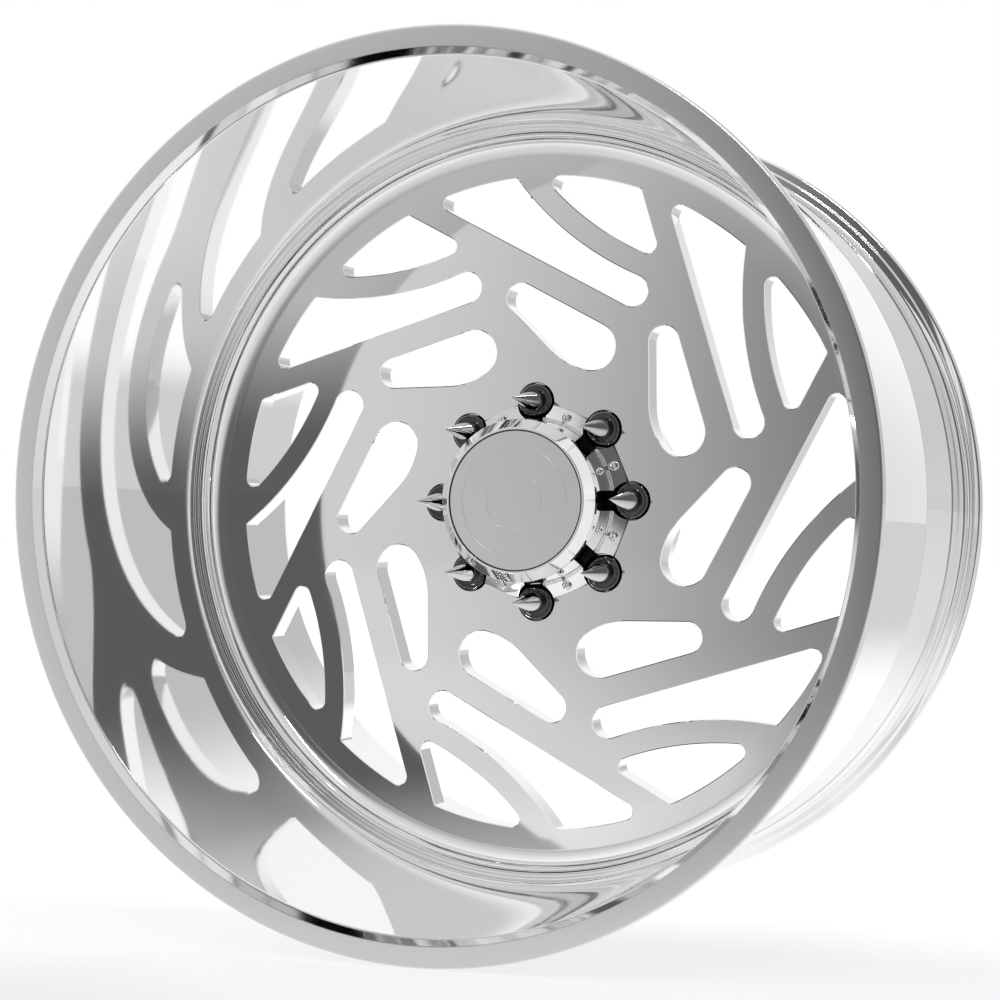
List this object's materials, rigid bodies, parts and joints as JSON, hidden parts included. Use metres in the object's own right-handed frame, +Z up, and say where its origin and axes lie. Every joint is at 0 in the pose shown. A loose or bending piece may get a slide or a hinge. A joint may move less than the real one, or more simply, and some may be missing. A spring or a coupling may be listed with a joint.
{
  "type": "wheel rim",
  "caption": "Deep-lip forged truck wheel: a swirl-windowed centre in a drop-centre barrel, with a screwed centre cap, spiked lug nuts and a tyre valve.",
  "frame": {"origin": "on the axle, at the middle of the rim's width between the outer faces of the two tyre flanges", "axes": "Y along the axle with the street side towards -Y and the mounting pad facing +Y; +Z up; +X right as seen from the street side"},
  "size_m": [0.6953, 0.4356, 0.6954],
  "materials": {
    "polished_barrel": "polished",
    "polished_centre": "polished with faint machining lines",
    "weld": "ground",
    "cap_metal": "mirror polished",
    "emblem_metal": "satin",
    "screw_metal": "polished",
    "nut_chrome": "dark chrome",
    "spike_chrome": "bright chrome",
    "seal_rubber": "matt",
    "valve_brass": "turned",
    "valve_plastic": "matt"
  },
  "bodies": {
    "wheel": {"rim_barrel": "polished_barrel", "wheel_centre": "polished_centre", "rear_weld_bead": "weld", "valve_stem": "valve_brass", "valve_outer_seal": "seal_rubber", "valve_inner_seal": "seal_rubber", "valve_nut": "screw_metal", "valve_core": "valve_brass"},
    "centre_cap": {"cap_skirt": "cap_metal", "cap_neck": "cap_metal", "cap_bezel": "cap_metal", "cap_seal_ring": "seal_rubber", "cap_emblem": "emblem_metal", "cap_skirt_screws": "screw_metal", "cap_neck_screws": "screw_metal"},
    "nut_1": {"lug_nut_1": "nut_chrome"},
    "spike_1": {"lug_spike_1": "spike_chrome"},
    "nut_2": {"lug_nut_2": "nut_chrome"},
    "spike_2": {"lug_spike_2": "spike_chrome"},
    "nut_3": {"lug_nut_3": "nut_chrome"},
    "spike_3": {"lug_spike_3": "spike_chrome"},
    "nut_4": {"lug_nut_4": "nut_chrome"},
    "spike_4": {"lug_spike_4": "spike_chrome"},
    "nut_5": {"lug_nut_5": "nut_chrome"},
    "spike_5": {"lug_spike_5": "spike_chrome"},
    "nut_6": {"lug_nut_6": "nut_chrome"},
    "spike_6": {"lug_spike_6": "spike_chrome"},
    "nut_7": {"lug_nut_7": "nut_chrome"},
    "spike_7": {"lug_spike_7": "spike_chrome"},
    "nut_8": {"lug_nut_8": "nut_chrome"},
    "spike_8": {"lug_spike_8": "spike_chrome"},
    "valve_pin": {"valve_pin": "screw_metal"},
    "valve_dust_cap": {"valve_cap": "valve_plastic"}
  },
  "joints": [
    {"name": "centre_cap_off", "type": "slide", "parent": "wheel", "child": "centre_cap", "axis": [0, -1, 0], "range_m": [0, 0.06]},
    {"name": "lug_nut_1_turn", "type": "hinge", "parent": "wheel", "child": "nut_1", "pos_m": [0.085, 0.0395, 0], "axis": [0, -1, 0], "continuous": true},
    {"name": "lug_spike_1_off", "type": "slide", "parent": "nut_1", "child": "spike_1", "axis": [0, -1, 0], "range_m": [0, 0.014]},
    {"name": "lug_nut_2_turn", "type": "hinge", "parent": "wheel", "child": "nut_2", "pos_m": [0.0601, 0.0395, 0.0601], "axis": [0, -1, 0], "continuous": true},
    {"name": "lug_spike_2_off", "type": "slide", "parent": "nut_2", "child": "spike_2", "axis": [0, -1, 0], "range_m": [0, 0.014]},
    {"name": "lug_nut_3_turn", "type": "hinge", "parent": "wheel", "child": "nut_3", "pos_m": [0, 0.0395, 0.085], "axis": [0, -1, 0], "continuous": true},
    {"name": "lug_spike_3_off", "type": "slide", "parent": "nut_3", "child": "spike_3", "axis": [0, -1, 0], "range_m": [0, 0.014]},
    {"name": "lug_nut_4_turn", "type": "hinge", "parent": "wheel", "child": "nut_4", "pos_m": [-0.0601, 0.0395, 0.0601], "axis": [0, -1, 0], "continuous": true},
    {"name": "lug_spike_4_off", "type": "slide", "parent": "nut_4", "child": "spike_4", "axis": [0, -1, 0], "range_m": [0, 0.014]},
    {"name": "lug_nut_5_turn", "type": "hinge", "parent": "wheel", "child": "nut_5", "pos_m": [-0.085, 0.0395, 0], "axis": [0, -1, 0], "continuous": true},
    {"name": "lug_spike_5_off", "type": "slide", "parent": "nut_5", "child": "spike_5", "axis": [0, -1, 0], "range_m": [0, 0.014]},
    {"name": "lug_nut_6_turn", "type": "hinge", "parent": "wheel", "child": "nut_6", "pos_m": [-0.0601, 0.0395, -0.0601], "axis": [0, -1, 0], "continuous": true},
    {"name": "lug_spike_6_off", "type": "slide", "parent": "nut_6", "child": "spike_6", "axis": [0, -1, 0], "range_m": [0, 0.014]},
    {"name": "lug_nut_7_turn", "type": "hinge", "parent": "wheel", "child": "nut_7", "pos_m": [0, 0.0395, -0.085], "axis": [0, -1, 0], "continuous": true},
    {"name": "lug_spike_7_off", "type": "slide", "parent": "nut_7", "child": "spike_7", "axis": [0, -1, 0], "range_m": [0, 0.014]},
    {"name": "lug_nut_8_turn", "type": "hinge", "parent": "wheel", "child": "nut_8", "pos_m": [0.0601, 0.0395, -0.0601], "axis": [0, -1, 0], "continuous": true},
    {"name": "lug_spike_8_off", "type": "slide", "parent": "nut_8", "child": "spike_8", "axis": [0, -1, 0], "range_m": [0, 0.014]},
    {"name": "valve_pin_press", "type": "slide", "parent": "wheel", "child": "valve_pin", "axis": [-0.0698, 0, 0.9976], "range_m": [0, 0.0015], "stiffness_N_per_m": 300, "springref_m": -0.001},
    {"name": "valve_cap_off", "type": "slide", "parent": "wheel", "child": "valve_dust_cap", "axis": [0.0698, 0, -0.9976], "range_m": [0, 0.014]}
  ]
}
